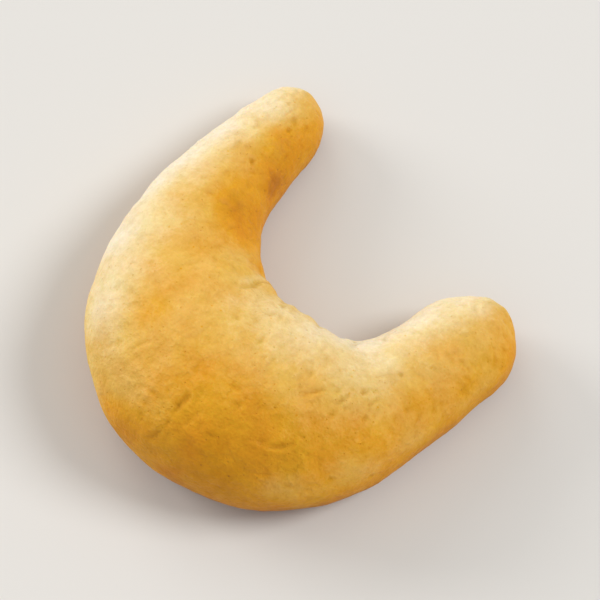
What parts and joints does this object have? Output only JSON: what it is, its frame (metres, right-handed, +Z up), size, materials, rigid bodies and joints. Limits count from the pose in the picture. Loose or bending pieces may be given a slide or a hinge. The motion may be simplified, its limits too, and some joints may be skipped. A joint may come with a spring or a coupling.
{
  "type": "crescent cheese bread",
  "caption": "Crescent-shaped baked cheese bread: a thick roll bent to a horseshoe, with a slim and a blunt horn, a creased open bay and a flat base.",
  "frame": {"origin": "centre of the bounding box's bottom face, on the plane of the flat base", "axes": "+Y from the thick middle to the open bay between the horns; +X across, from the slim horn to the blunt horn; +Z up from the flat base"},
  "size_m": [0.1108, 0.115, 0.0414],
  "materials": {
    "crust": "smooth matte baked crust, pale gold on the ridges and golden brown on the sides and the base"
  },
  "bodies": {
    "root": {"crescent_bread": "crust"}
  },
  "joints": []
}
